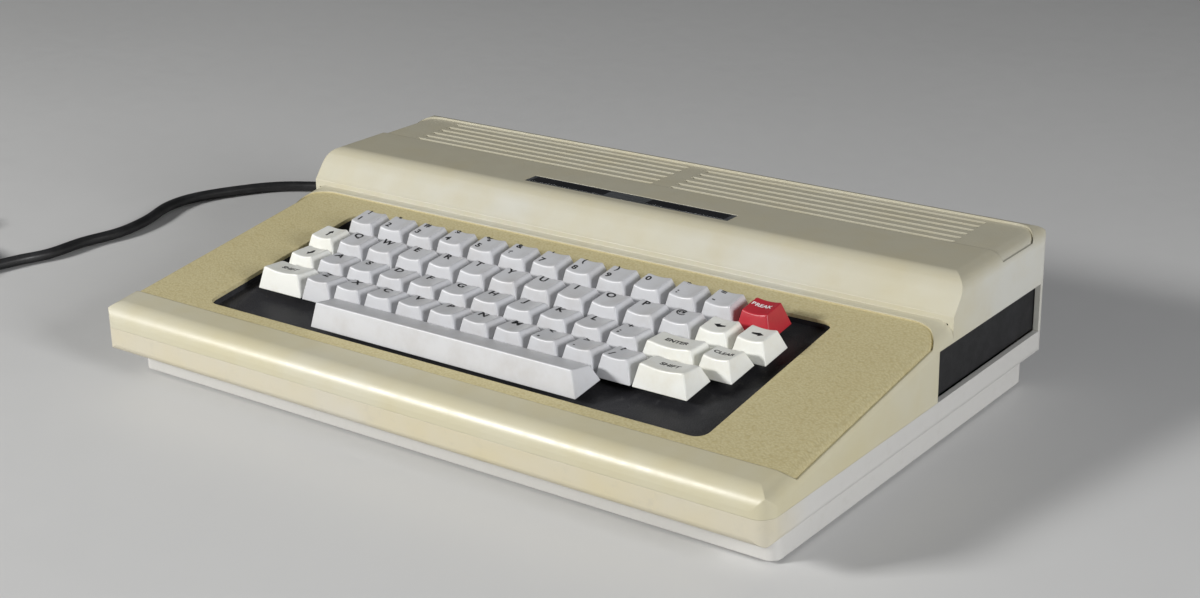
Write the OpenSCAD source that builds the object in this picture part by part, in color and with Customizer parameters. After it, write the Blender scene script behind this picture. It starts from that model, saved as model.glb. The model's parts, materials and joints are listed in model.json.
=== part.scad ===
// Vintage home computer: a low wedge-shaped case with a built-in full-travel keyboard.
// Frame: X to the right, Y to the back, Z up, in millimetres.
// The origin is under the middle of the case, on the table.
// The keyboard pieces are drawn in deck coordinates: X right, Y up the slope, Z out of the deck.

/* [Case] */
// Width of the case at the parting line
case_w = 374; // [366:1:390]
// Depth of the case at the parting line
case_d = 246; // [242:1:262]
// Height of the smooth top above the table
case_h = 77.7; // [76:0.1:84]
// Wall thickness of both mouldings
wall = 2.8; // [2.4:0.1:3.2]
// Radius of the upright corners and of the edges that run along both sides
edge_r = 8; // [7:0.5:9]
// Radius of the front edge of the deck
nose_r = 9; // [8:0.5:9.5]
// Depth by which the textured panels lie below the smooth rims
panel_drop = 1; // [0.6:0.1:1.4]

/* [Lower case] */
// Height of the rubber feet below the plinth
foot_h = 1.5; // [1:0.1:3]
// Height of the plinth
plinth_h = 14; // [13:0.5:15]
// Height of the band between the plinth and the parting line
band_h = 11.8; // [11:0.1:13]
// How far the plinth stands in from the band at the sides
plinth_in_x = 6.6; // [6:0.2:8]
// How far the plinth stands in at the front
plinth_in_front = 16.8; // [14:0.2:18]
// How far the plinth and the socket panel stand in at the back
plinth_in_back = 8; // [7.5:0.5:9]

/* [Deck] */
// Slope of the deck and the keyboard in degrees
deck_slope = 8.4; // [8:0.1:8.8]
// Distance from the front of the case to the front of the deck panel
deck_in = 18; // [17:0.5:19]
// Height of the front of the deck panel above the parting line
deck_up = 13.4; // [13:0.1:14]
// Length of the deck panel up the slope
deck_len = 128; // [126:1:130]

/* [Keyboard] */
// Distance between neighbouring keys
pitch = 19.05; // [18.9:0.05:19.1]
// Clear gap between the feet of two caps
cap_gap = 0.9; // [0.8:0.1:1.2]
// How far a key goes down
key_travel = 3.8; // [3:0.1:3.9]
// Clearance around a plunger in its guide, on each side
guide_fit = 0.2; // [0.15:0.01:0.25]

/* [Side door] */
// Width of the cartridge opening in the right side
door_open_w = 100.5; // [96:0.5:101]
// Height of the cartridge opening above the parting line
door_open_h = 23.4; // [21:0.1:24]
// Running clearance of the hinge pins, on the radius
pin_fit = 0.05; // [0.03:0.01:0.1]

/* [Mains cord] */
// Diameter of the cord
cord_d = 6.4; // [6:0.1:6.6]
// Radius of the coil at the middle of its turns
coil_r = 37; // [35.5:0.5:38]

/* [Hidden] */

$fn = 64;
// small overlap that keeps a cut from ending in a skin
eps = 0.5;
// gap left between seats that belong to different moving pieces
seat_gap = 0.3;
// gap of a piece that is laid in a pocket or passes a wall
lay_gap = 0.2;

// ---- levels and edges of the case
half_w = case_w / 2;
half_d = case_d / 2;
band_z = foot_h + plinth_h;
parting_z = band_z + band_h;
floor_z = foot_h + wall;
deck_y0 = -half_d + deck_in;
deck_z0 = parting_z + deck_up;
deck_end_y = deck_y0 + deck_len * cos(deck_slope);
function deck_z(y) = deck_z0 + (y - deck_y0) * tan(deck_slope);
// how far the textured panels wrap down over the rounded sides
panel_wrap = 4.7;

// ---- the step up from the deck to the top, and the back
step_foot_y = deck_end_y + 2.5;
step_top_y = step_foot_y + 14;
cove_r = 12;
back_lean = 1.5;
corner_r = edge_r;
shoulder_r = 8;
back_r = 7;

// ---- the vent panel and its slots
vent_panel_front = half_d - 49;
vent_panel_back = half_d - 8.5;
slot_count = 6;
slot_pitch = 6.35;
slot_w = 2.6;
slot_in = 5.5;
slot_out = half_w - 27;
slot_back_y = half_d - 13.5;
// both textured panels: gap to the side faces, and the radii of their corners in plan
panel_side_in = 0.4;
deck_panel_front_r = 6;
deck_panel_back_r = 18;
vent_panel_back_r = 14;

// ---- the recess of the bare name plate
badge_w = 120.5;
badge_h = 9.6;
badge_y = step_top_y + 11.87;
badge_deep = 0.5;

// ---- the keyboard, in deck coordinates
rows = 5;
row_len = 14;
key_front = 10.25;
key_foot = -1.2;
aperture_w = 281.5;
aperture_y0 = 7.7;
aperture_y1 = 112.8;
aperture_r = 6;
cap_in_side = 3.2;
cap_wall = 1.3;
dish_r = 21;
dish_deep = 0.9;
plunger = 5.6;
barb = 0.7;
plate_top = key_foot - key_travel - 0.4;
plate_t = 2;
tower_len = 6;
tower_side = plunger + 2 * guide_fit + 2.6;
tower_end = plate_top - plate_t - tower_len;
tip_len = 1.8;
board_top = tower_end - tip_len - key_travel - 0.6;
board_t = 1.6;
backing_t = 1;
frame_margin = 5;

// heights of the front and the back edge of each row's caps, back row first
cap_front_h = [10.9, 9.6, 9.4, 10.4, 11.7];
cap_back_h = [11.1, 9.1, 7.6, 7.9, 7.9];
cap_front_in = 3.7;
cap_back_in = 3;

// first column and width of every key, in pitches, back row first
row_starts = [
  [for (i = [0 : 12]) [0.5 + i, 1]],
  [for (i = [0 : 13]) [i, 1]],
  concat([for (i = [0 : 10]) [0.25 + i, 1]], [[11.25, 1.5], [12.75, 1]]),
  concat([[0.25, 1.5]], [for (i = [0 : 9]) [1.75 + i, 1]], [[11.75, 1.5]]),
  [[3, 8]]
];
space_side = 3;
function key_mid(start, width) = (start + width / 2 - row_len / 2) * pitch;
function row_mid(row) = key_front + (rows - row + 0.5) * pitch;
// middle of every plunger; the space bar has one at each end as well
plungers = concat(
  [for (row = [1 : rows]) for (k = row_starts[row - 1]) [key_mid(k[0], k[1]), row_mid(row)]],
  [for (side = [-1, 1]) [key_mid(3, 8) + side * space_side * pitch, row_mid(rows)]]
);

// ---- the cartridge opening and its door
door_y0 = half_d - 109;
door_y1 = door_y0 + door_open_w;
door_open_top = parting_z + door_open_h;
door_over = 1.2;
door_t = 2.5;
hinge_pin_r = 1.5;
barrel_r = 2.2;
inner_x = half_w - wall;
inner_y = half_d - wall;
lip_t = 1.6;
hinge_x = inner_x - 4.6;
hinge_z = door_open_top + 1.6;
// the face of the closed door lies this far behind the inside of the wall
door_back = 0.5;
// the top of the door lies this far below the middle of its hinge
door_down = 0.6;
ear_t = 3;
ear_half = 4;
// from the side of the opening to the far face of an ear
pin_reach = door_over + seat_gap + ear_t;
// the edge connector of the cartridge bay, centred on the door
bay_y = (door_y0 + door_y1) / 2;
bay_half = 29;
bay_x0 = 104;
bay_x1 = 114;

// ---- the socket recess at the back
panel_y = half_d - plinth_in_back;
panel_inner = panel_y - wall;
recess_x0 = -half_w + 13;
recess_x1 = half_w - 73;
recess_z0 = band_z + 3.5;
recess_z1 = parting_z + 15;
cheek_t = 2;

// ---- the main board and what it carries
board_z = floor_z + 11.4;
pcb_t = 1.6;
pcb_top = board_z + pcb_t;
pcb_x = half_w - 15;
pcb_y0 = -20;
pcb_y1 = panel_inner - 0.3;
pcb_arm_y = panel_inner - 24.2;
pcb_arm_x = -110;
socket_z = pcb_top + 12;
// places along the back, laid out for this width and spread with the case
layout_w = 374;
function spread(x) = x * case_w / layout_w;
din_x = [spread(-45), spread(-15), spread(18), spread(48)];
din_r = 7;
power_x = spread(-158);
reset_x = spread(96);
relief_x = spread(-134);
relief_half = 7;
relief_z = recess_z0 + relief_half + 1;
slider_x = spread(-103);
slider_z = pcb_top + 10;
jack_x = spread(-82);
jack_r = 4.15;
jack_len = 7;
can_x0 = slider_x - 9;
can_x1 = jack_x + 12;
can_y0 = panel_inner - 22.2;
can_h = 23;
button_travel = 2.5;
slide_throw = 4;

// places of the six case screws, and the stand-offs of the board
screw_spots = [
  [-half_w + 19, -half_d + 28], [half_w - 19, -half_d + 28], [-half_w + 17, 28],
  [half_w - 19, 0], [-half_w + 17, half_d - 39], [72, 66]
];
standoffs = [
  [-half_w + 37, half_d - 23], [-95, 20], [-60, half_d - 23], [0, -12], [0, 80], [110, -12],
  [100, half_d - 17], [half_w - 23, 14], [half_w - 23, half_d - 17]
];
foot_in_x = 37;
feet = [
  [-half_w + foot_in_x, -half_d + 35], [half_w - foot_in_x, -half_d + 35],
  [-half_w + foot_in_x, half_d - 31], [half_w - foot_in_x, half_d - 31]
];
post_r = 4;
screw_r = 1.7;
head_r = 4;

// ---- the mains cord: hand-chosen points of its middle line, from the case to the coil
cord_r = cord_d / 2;
lie_z = cord_r + 0.2;
coil_x = -410;
coil_y = -95;
lane = cord_d + 0.7;
relief_end = panel_y + 26;
// the coil spirals in by coil_in degrees, climbs in half a loop and spirals out as far
coil_in = 900;
coil_end = 2 * coil_in + 180;
coil_out_r = coil_r + lane * coil_in / 720;
coil_in_r = coil_r - lane * coil_in / 720;
lead = 10;
tail = 26;
plug_z = 9;
join_x = coil_x + coil_out_r;
join_y = coil_y + lead;
cord_points = [
  [relief_x, relief_end, relief_z], [relief_x, relief_end + 7, relief_z],
  [relief_x, relief_end + 14, relief_z], [relief_x - 4, 171, 20],
  [relief_x - 17, 186, 10], [-176, 196, 4], [-208, 197, lie_z], [-256, 184, lie_z],
  [-300, 163, lie_z], [-334, 144, lie_z], [-352, 122, lie_z], [-364, 96, lie_z],
  [-364, 74, lie_z], [-354, 48, lie_z], [-350, 24, lie_z], [-354, 0, lie_z],
  [-354, -24, lie_z], [-360, -42, lie_z], [join_x, -62, lie_z],
  [join_x, -76, lie_z], [join_x, join_y, lie_z]
];
cord_sides = 8;
cord_steps = 2;
coil_sides = 6;
loop_rings = 24;

// ================= helpers =================

function unit(v) = v / norm(v);
function left_of(v) = [-v[1], v[0]];
function before(p, i) = p[(i + len(p) - 1) % len(p)];
function after(p, i) = p[(i + 1) % len(p)];
function turn_of(p, i) = let(a = unit(p[i] - before(p, i)), b = unit(after(p, i) - p[i]))
  atan2(a[0] * b[1] - a[1] * b[0], a * b);
function tangent_len(p, r, i) = r[i] * tan(abs(turn_of(p, i)) / 2);
function fillet_in(p, r, i) = p[i] - unit(p[i] - before(p, i)) * tangent_len(p, r, i);
function fillet_out(p, r, i) = p[i] + unit(after(p, i) - p[i]) * tangent_len(p, r, i);
function fillet_mid(p, r, i) = fillet_in(p, r, i)
  + left_of(unit(p[i] - before(p, i))) * r[i] * (turn_of(p, i) > 0 ? 1 : -1);
// the outline p moved inward by w, corner by corner
function inset(p, w) = [for (i = [0 : len(p) - 1])
  let(a = left_of(unit(p[i] - before(p, i))), b = left_of(unit(after(p, i) - p[i])))
  p[i] + w * (a + b) / (1 + a * b)];

// an outline with true round corners: points in anticlockwise order, one radius for each
module rounded(p, r) {
  difference() {
    union() {
      polygon([for (i = [0 : len(p) - 1])
        each (r[i] > 0 ? [fillet_in(p, r, i), fillet_out(p, r, i)] : [p[i]])]);
      for (i = [0 : len(p) - 1])
        if (r[i] > 0 && turn_of(p, i) > 0) translate(fillet_mid(p, r, i)) circle(r[i]);
    }
    for (i = [0 : len(p) - 1])
      if (r[i] > 0 && turn_of(p, i) < 0) translate(fillet_mid(p, r, i)) circle(r[i]);
  }
}

module plan_block(hx, y0, y1, r, z0, z1) {
  translate([0, 0, z0]) linear_extrude(z1 - z0)
    rounded([[-hx, y0], [hx, y0], [hx, y1], [-hx, y1]], [r, r, r, r]);
}

// draws its children, made in the YZ plane, as a bar from -hx to hx
module across(hx) {
  translate([-hx, 0, 0]) rotate([90, 0, 90]) linear_extrude(2 * hx) children();
}

module box(x0, x1, y0, y1, z0, z1) {
  translate([x0, y0, z0]) cube([x1 - x0, y1 - y0, z1 - z0]);
}

module on_deck() {
  translate([0, deck_y0, deck_z0]) rotate([deck_slope, 0, 0]) children();
}

// a round bar along Y
module bar_y(x, y0, y1, z, r) {
  translate([x, y0, z]) rotate([-90, 0, 0]) cylinder(r = r, h = y1 - y0);
}

// ================= the two case mouldings =================

side_points = [
  [-half_d, parting_z], [half_d, parting_z], [half_d - back_lean, case_h],
  [step_top_y, case_h], [step_foot_y, deck_z(step_foot_y)], [-half_d, deck_z(-half_d)]
];

// the whole upper shape, shrunk inward by w and drawn down to bottom_z
module upper_shape(w, bottom_z) {
  p = inset(side_points, w);
  low = [for (i = [0 : len(p) - 1]) i < 2 ? [p[i][0], bottom_z - 1] : p[i]];
  r = [0, 0, back_r - w, shoulder_r - w, cove_r + w, nose_r - w];
  hx = half_w - w;
  e = edge_r - w;
  intersection() {
    across(hx) rounded(low, r);
    union() {
      // rounded long edges along the deck
      on_deck() translate([0, step_foot_y - deck_y0 + 6, 0]) rotate([90, 0, 0])
        linear_extrude(case_d)
          rounded([[-hx, -case_h], [hx, -case_h], [hx, -w], [-hx, -w]], [0, 0, e, e]);
      // rounded long edges along the top
      translate([0, half_d, 0]) rotate([90, 0, 0])
        linear_extrude(half_d - step_foot_y - 2)
          rounded([[-hx, -10], [hx, -10], [hx, case_h - w], [-hx, case_h - w]], [0, 0, e, e]);
    }
    plan_block(hx, -half_d + w, half_d - w, corner_r - w, bottom_z, case_h + 1);
  }
}

// the skin, panel_drop thick, that is taken off between the two ends of a panel
module deck_panel_skin() {
  difference() {
    on_deck() panel_block(0, deck_len, deck_panel_front_r, deck_panel_back_r);
    upper_shape(panel_drop, parting_z - 1);
  }
}
module vent_panel_skin() {
  difference() {
    translate([0, 0, case_h]) panel_block(vent_panel_front, vent_panel_back, 0, vent_panel_back_r);
    upper_shape(panel_drop, parting_z - 1);
  }
}
module panel_block(y0, y1, front_r, back_r) {
  hx = half_w - panel_side_in;
  translate([0, 0, -panel_wrap]) linear_extrude(2 * panel_wrap)
    rounded([[-hx, y0], [hx, y0], [hx, y1], [-hx, y1]], [front_r, front_r, back_r, back_r]);
}

// the opening for the keys, drawn right through the deck
module aperture() {
  through = 12;
  plan_block(aperture_w / 2, aperture_y0, aperture_y1, aperture_r, -through, through);
}

module vent_slots() {
  for (i = [0 : slot_count - 1])
    for (side = [-1, 1])
      translate([side * (slot_in + slot_out) / 2, slot_back_y - i * slot_pitch, case_h - 4])
        cube([slot_out - slot_in, slot_w, 12], center = true);
}

// posts that hang from the top and meet the posts of the lower case, and the ears that carry
// the hinge pins of the door
module posts_and_ears() {
  difference() {
    intersection() {
      union() {
        for (s = screw_spots)
          translate([s[0], s[1], parting_z]) difference() {
            cylinder(r = post_r, h = case_h);
            translate([0, 0, -1]) cylinder(r = screw_r - 0.4, h = 10);
          }
        for (y = [door_y0 - door_over - ear_t - seat_gap, door_y1 + door_over + seat_gap])
          box(hinge_x - ear_half, half_w, y, y + ear_t, hinge_z - ear_half, hinge_z + ear_half);
      }
      upper_shape(wall / 2, parting_z);
    }
    bar_y(hinge_x, door_y0 - pin_reach - 0.1, door_y1 + pin_reach + 0.1, hinge_z,
      hinge_pin_r + pin_fit);
  }
}

module upper_case() {
  past = 3;
  color("wheat") {
    difference() {
      upper_shape(0, parting_z);
      upper_shape(wall, parting_z - 2);
      deck_panel_skin();
      vent_panel_skin();
      on_deck() aperture();
      vent_slots();
      translate([0, badge_y, case_h]) cube([badge_w, badge_h, 2 * badge_deep], center = true);
      // the cartridge opening
      box(inner_x - past, half_w + past, door_y0, door_y1, parting_z - past, door_open_top);
      // the window in front of the sockets
      box(recess_x0, recess_x1, panel_y, half_d + past, parting_z - past, recess_z1);
    }
    posts_and_ears();
    // shelf that closes the socket recess above
    box(recess_x0 - cheek_t, recess_x1 + cheek_t, panel_inner, half_d - wall / 2,
      recess_z1, recess_z1 + cheek_t);
  }
}

module lower_shape(w, top_z) {
  hx = half_w - w;
  y0 = -half_d + w;
  y1 = half_d - w;
  r = 3.5 - w / 2;
  z0 = band_z + w;
  intersection() {
    plan_block(hx, y0, y1, corner_r - w, z0 - 1, top_z);
    across(case_w) rounded([[y0, z0], [y1, z0], [y1, top_z], [y0, top_z]], [r, r, 0, 0]);
    translate([0, case_d, 0]) rotate([90, 0, 0]) linear_extrude(2 * case_d)
      rounded([[-hx, z0], [hx, z0], [hx, top_z], [-hx, top_z]], [r, r, 0, 0]);
  }
}

module plinth_shape(w, z0, z1) {
  plan_block(half_w - plinth_in_x - w, -half_d + plinth_in_front + w, panel_y - w, 5 - w, z0, z1);
}

module lower_case() {
  color("gainsboro") difference() {
    union() {
      difference() {
        union() {
          lower_shape(0, parting_z);
          plinth_shape(0, foot_h, band_z + 3);
        }
        lower_shape(wall, parting_z + 1);
        plinth_shape(wall, floor_z, parting_z);
      }
      // the upright panel that holds the sockets and the buttons
      box(recess_x0 - cheek_t, recess_x1 + cheek_t, panel_inner, panel_y, floor_z,
        recess_z1 - seat_gap);
      // a floor under the recess, from the panel to the band
      box(recess_x0 - cheek_t, recess_x1 + cheek_t, panel_inner, inner_y, band_z + 1, recess_z0);
      // cheeks that close the recess at both ends
      for (x = [recess_x0 - cheek_t, recess_x1]) {
        box(x, x + cheek_t, panel_inner, inner_y, band_z + 1, parting_z);
        box(x, x + cheek_t, panel_inner, inner_y - 0.8, band_z + 1, recess_z1 - seat_gap);
      }
      // the lip that centres the upper case
      difference() {
        union() {
          plan_block(inner_x + eps, -inner_y - eps, inner_y + eps, corner_r - wall,
            parting_z - 4, parting_z);
          plan_block(inner_x - lay_gap, -inner_y + lay_gap, inner_y - lay_gap, corner_r - wall,
            parting_z - 4, parting_z + 2);
        }
        plan_block(inner_x - lip_t, -inner_y + lip_t, inner_y - lip_t,
          corner_r - wall - lip_t, parting_z - 5, parting_z + 3);
        box(half_w - 20, half_w - wall + lay_gap / 2, door_y0 - 10, half_d, parting_z - 5, parting_z + 3);
        box(recess_x0 - 4, recess_x1 + 4, half_d - 12, half_d - wall + lay_gap / 2,
          parting_z - 5, parting_z + 3);
      }
      for (s = screw_spots)
        translate([s[0], s[1], foot_h]) cylinder(r = post_r + 1, h = parting_z - foot_h);
      for (s = standoffs)
        translate([s[0], s[1], foot_h]) cylinder(r = 3.5, h = board_z - foot_h);
    }
    for (s = screw_spots)
      translate([s[0], s[1], foot_h - 1]) {
        cylinder(r = screw_r, h = parting_z);
        cylinder(r = head_r, h = 11);
      }
    // pockets of the feet
    for (f = feet) translate([f[0], f[1], foot_h - 1]) cylinder(r = 7 + lay_gap, h = 2);
    // the notch of the recess through the band
    box(recess_x0, recess_x1, panel_y, half_d + eps, recess_z0, parting_z + eps);
    panel_holes();
  }
}

module panel_holes() {
  for (x = din_x) bar_y(x, panel_inner - 1, panel_y + 1, socket_z, din_r + 0.8);
  bar_y(jack_x, panel_inner - 1, panel_y + 1, slider_z, jack_r + 0.8);
  bar_y(reset_x, panel_inner - 1, panel_y + 1, slider_z, 4.5);
  box(power_x - 6, power_x + 6, panel_inner - 1, panel_y + 1, slider_z - 6, slider_z + 6);
  box(slider_x - 2 - slide_throw, slider_x + 2 + slide_throw,
    panel_inner - 1, panel_y + 1, slider_z - 2.5, slider_z + 2.5);
  relief_hole = 5 + lay_gap;
  box(relief_x - relief_hole, relief_x + relief_hole, panel_inner - 1, panel_y + 1,
    relief_z - relief_hole, relief_z + relief_hole);
}

module rubber_feet() {
  color("dimgray") for (f = feet) translate([f[0], f[1], 0]) cylinder(r = 7, h = foot_h + 1);
}

// ================= the keyboard =================

module keyboard_frame() {
  hx = aperture_w / 2 + frame_margin;
  y0 = aperture_y0 - frame_margin;
  y1 = aperture_y1 + frame_margin;
  hole = plunger + 2 * guide_fit;
  color("#1d1d20") on_deck() {
    // the plate under the caps
    translate([0, 0, plate_top - plate_t]) linear_extrude(plate_t) difference() {
      translate([-hx, y0]) square([2 * hx, y1 - y0]);
      for (p = plungers) translate(p) square(hole, center = true);
    }
    // the guide towers
    translate([0, 0, tower_end]) linear_extrude(tower_len) difference() {
      for (p = plungers) translate(p) square(tower_side, center = true);
      for (p = plungers) translate(p) square(hole, center = true);
    }
    // the rim that meets the underside of the deck, and the skirt down to the contact board
    translate([0, 0, plate_top]) linear_extrude(-wall - plate_top) difference() {
      translate([-hx, y0]) square([2 * hx, y1 - y0]);
      translate([-hx + frame_margin, y0 + frame_margin])
        square([2 * (hx - frame_margin), y1 - y0 - 2 * frame_margin]);
    }
    translate([0, 0, board_top]) linear_extrude(plate_top - plate_t - board_top) difference() {
      translate([-hx, y0]) square([2 * hx, y1 - y0]);
      translate([-hx + 2, y0 + 2]) square([2 * hx - 4, y1 - y0 - 4]);
    }
  }
}

module keyboard_contact_board() {
  hx = aperture_w / 2 + frame_margin;
  y0 = aperture_y0 - frame_margin;
  y1 = aperture_y1 + frame_margin;
  on_deck() {
    color("darkolivegreen") box(-hx, hx, y0, y1, board_top - board_t, board_top);
    color("silver") difference() {
      box(-hx, hx, y0, y1, board_top - board_t - backing_t, board_top - board_t);
      for (x = [-120, -40, 40, 120])
        translate([x, (y0 + y1) / 2, board_top - 9]) cylinder(r = 4, h = 9);
    }
  }
}

// one key: a hollow tapered cap with a dished top, and a square plunger with two barbs
module key(row, start, width, stems = [0], dished = true) {
  w = width * pitch;
  foot = w / 2 - cap_gap / 2;
  top = w / 2 - cap_in_side;
  fh = cap_front_h[row - 1];
  bh = cap_back_h[row - 1];
  tilt = atan2(bh - fh, pitch - cap_front_in - cap_back_in);
  top_h = max(fh, bh);
  on_deck() translate([key_mid(start, width), row_mid(row), key_foot]) {
    difference() {
      cap_block(foot, top, top_h, fh, bh, 0);
      translate([0, 0, -eps]) cap_block(foot, top, top_h, fh, bh, cap_wall);
      if (dished)
        translate([0, -pitch / 2 + cap_front_in, fh - dish_deep]) rotate([tilt, 0, 0])
          translate([0, -pitch, dish_r * dish_scale(width)]) rotate([-90, 0, 0])
            cylinder(r = dish_r * dish_scale(width), h = 3 * pitch, $fn = 96);
    }
    for (s = stems) translate([s * pitch, 0, 0]) stem((fh + bh) / 2 - dish_deep - cap_wall + 0.4);
  }
}
// a wider cap has a flatter dish
function dish_scale(width) = width * width;

module cap_block(foot, top, top_h, fh, bh, w) {
  intersection() {
    // front view
    translate([0, pitch, 0]) rotate([90, 0, 0]) linear_extrude(2 * pitch)
      polygon([[-foot + w, 0], [foot - w, 0], [top - w, top_h - w], [-top + w, top_h - w]]);
    // side view
    across(2 * foot) polygon([
      [-pitch / 2 + cap_gap / 2 + w, 0], [pitch / 2 - cap_gap / 2 - w, 0],
      [pitch / 2 - cap_back_in - w, bh - 1.7 * w], [-pitch / 2 + cap_front_in + w, fh - 1.7 * w]
    ]);
  }
}

module stem(up) {
  low = tower_end - tip_len - key_foot;
  catch = tower_end - key_foot - seat_gap;
  h = plunger / 2;
  box(-h, h, -h, h, low, up);
  // the barbs that stop the key under its tower
  for (side = [-1, 1])
    box(side > 0 ? h - eps : -h - guide_fit - barb, side > 0 ? h + guide_fit + barb : -h + eps,
      -h, h, catch - 1, catch);
}

module number_row_keys() {
  color("#dcdae0") for (i = [0 : 11]) key(1, 0.5 + i, 1);
}
module key_break() { color("#c02330") key(1, 12.5, 1); }

module key_up() { color("#efece0") key(2, 0, 1); }
module key_q() { color("#dcdae0") key(2, 1, 1); }
module key_w() { color("#dcdae0") key(2, 2, 1); }
module key_e() { color("#dcdae0") key(2, 3, 1); }
module key_r() { color("#dcdae0") key(2, 4, 1); }
module key_t() { color("#dcdae0") key(2, 5, 1); }
module key_y() { color("#dcdae0") key(2, 6, 1); }
module key_u() { color("#dcdae0") key(2, 7, 1); }
module key_i() { color("#dcdae0") key(2, 8, 1); }
module key_o() { color("#dcdae0") key(2, 9, 1); }
module key_p() { color("#dcdae0") key(2, 10, 1); }
module key_at() { color("#dcdae0") key(2, 11, 1); }
module key_left() { color("#efece0") key(2, 12, 1); }
module key_right() { color("#efece0") key(2, 13, 1); }

module key_down() { color("#efece0") key(3, 0.25, 1); }
module key_a() { color("#dcdae0") key(3, 1.25, 1); }
module key_s() { color("#dcdae0") key(3, 2.25, 1); }
module key_d() { color("#dcdae0") key(3, 3.25, 1); }
module key_f() { color("#dcdae0") key(3, 4.25, 1); }
module key_g() { color("#dcdae0") key(3, 5.25, 1); }
module key_h() { color("#dcdae0") key(3, 6.25, 1); }
module key_j() { color("#dcdae0") key(3, 7.25, 1); }
module key_k() { color("#dcdae0") key(3, 8.25, 1); }
module key_l() { color("#dcdae0") key(3, 9.25, 1); }
module key_semicolon() { color("#dcdae0") key(3, 10.25, 1); }
module key_enter() { color("#efece0") key(3, 11.25, 1.5); }
module key_clear() { color("#efece0") key(3, 12.75, 1); }

module key_shift_left() { color("#efece0") key(4, 0.25, 1.5); }
module key_z() { color("#dcdae0") key(4, 1.75, 1); }
module key_x() { color("#dcdae0") key(4, 2.75, 1); }
module key_c() { color("#dcdae0") key(4, 3.75, 1); }
module key_v() { color("#dcdae0") key(4, 4.75, 1); }
module key_b() { color("#dcdae0") key(4, 5.75, 1); }
module key_n() { color("#dcdae0") key(4, 6.75, 1); }
module key_m() { color("#dcdae0") key(4, 7.75, 1); }
module key_comma() { color("#dcdae0") key(4, 8.75, 1); }
module key_period() { color("#dcdae0") key(4, 9.75, 1); }
module key_slash() { color("#dcdae0") key(4, 10.75, 1); }
module key_shift_right() { color("#efece0") key(4, 11.75, 1.5); }
module key_space() {
  color("#dcdae0") key(5, 3, 8, stems = [-space_side, 0, space_side], dished = false);
}

// ================= door, buttons and the slide switch =================

module cartridge_door() {
  y0 = door_y0 - door_over;
  y1 = door_y1 + door_over;
  color("#18181b") {
    box(inner_x - door_back - door_t, inner_x - door_back, y0, y1, parting_z + 0.6,
      hinge_z - door_down);
    bar_y(hinge_x, y0, y1, hinge_z, barrel_r);
    bar_y(hinge_x, door_y0 - pin_reach + lay_gap, door_y1 + pin_reach - lay_gap, hinge_z,
      hinge_pin_r);
  }
}

module power_button() {
  color("#222226") {
    box(power_x - 5.6, power_x + 5.6, panel_y - 6, panel_y + 5, slider_z - 5.6, slider_z + 5.6);
    box(power_x - 2, power_x + 2, panel_y - 12, panel_y - 6, slider_z - 2, slider_z + 2);
  }
}

module reset_button() {
  color("#222226") {
    bar_y(reset_x, panel_y - 5, panel_y + 4, slider_z, 4.2);
    box(reset_x - 1.5, reset_x + 1.5, panel_y - 12, panel_y - 4.5, slider_z - 1.5, slider_z + 1.5);
  }
}

module channel_slider() {
  color("#222226") {
    box(slider_x + slide_throw / 2 - 2, slider_x + slide_throw / 2 + 2,
      panel_inner + 0.4, panel_y + 2.5, slider_z - 2, slider_z + 2);
    box(slider_x + slide_throw / 2 - 1, slider_x + slide_throw / 2 + 1,
      panel_inner - 3, panel_inner + 0.5, slider_z - 1, slider_z + 1);
  }
}

// ================= inside =================

module main_board() {
  color("darkgreen") translate([0, 0, board_z]) linear_extrude(pcb_t) difference() {
    polygon([
      [pcb_arm_x, pcb_y0], [pcb_x, pcb_y0], [pcb_x, pcb_y1],
      [-pcb_x, pcb_y1], [-pcb_x, pcb_arm_y], [pcb_arm_x, pcb_arm_y]
    ]);
    for (s = screw_spots) translate(s) circle(post_r + 1.5);
  }
}

// chips as [x, y, length along X, length along Y]
chips = [
  [-80, 10, 15, 52], [-50, 10, 15, 52], [-14, 20, 15, 36], [14, 20, 15, 36],
  [30, 20, 8, 20], [44, 20, 8, 20], [-14, 62, 22, 8], [20, 66, 8, 20], [34, 66, 8, 20],
  [58, 20, 8, 20], [72, 20, 8, 20], [-96, 62, 24, 8], [-60, 62, 8, 20]
];

module dip(c) {
  translate([c[0], c[1], pcb_top]) {
    translate([0, 0, 2.4]) cube([c[2] - 1.6, c[3], 3.2], center = true);
    // the two rows of legs as a stepped foot
    translate([0, 0, 0.5]) cube([c[2], c[3] - 1, 1], center = true);
  }
}

module board_chips() {
  color("#26262a") for (c = chips) dip(c);
  color("#303034") {
    // the bodies of the power and reset switches, each with a square guide
    switch_body(power_x, 14, 2, slider_z + 5.5);
    switch_body(reset_x, 12, 1.5, slider_z + 4);
    // the heat sink and the smoothing capacitors
    box(-34, -30, 30, 64, pcb_top, pcb_top + 22);
  }
  color("navy") {
    translate([-half_w + 47, panel_inner - 13.2, pcb_top]) cylinder(r = 6, h = 16);
    translate([-half_w + 63, panel_inner - 13.2, pcb_top]) cylinder(r = 5, h = 13);
  }
}

module switch_body(x, w, shaft, top_z) {
  difference() {
    box(x - w / 2, x + w / 2, panel_y - 23, panel_y - 9, pcb_top, top_z);
    box(x - shaft - lay_gap, x + shaft + lay_gap, panel_y - 21, panel_y,
      slider_z - shaft - lay_gap, slider_z + shaft + lay_gap);
  }
}

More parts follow.
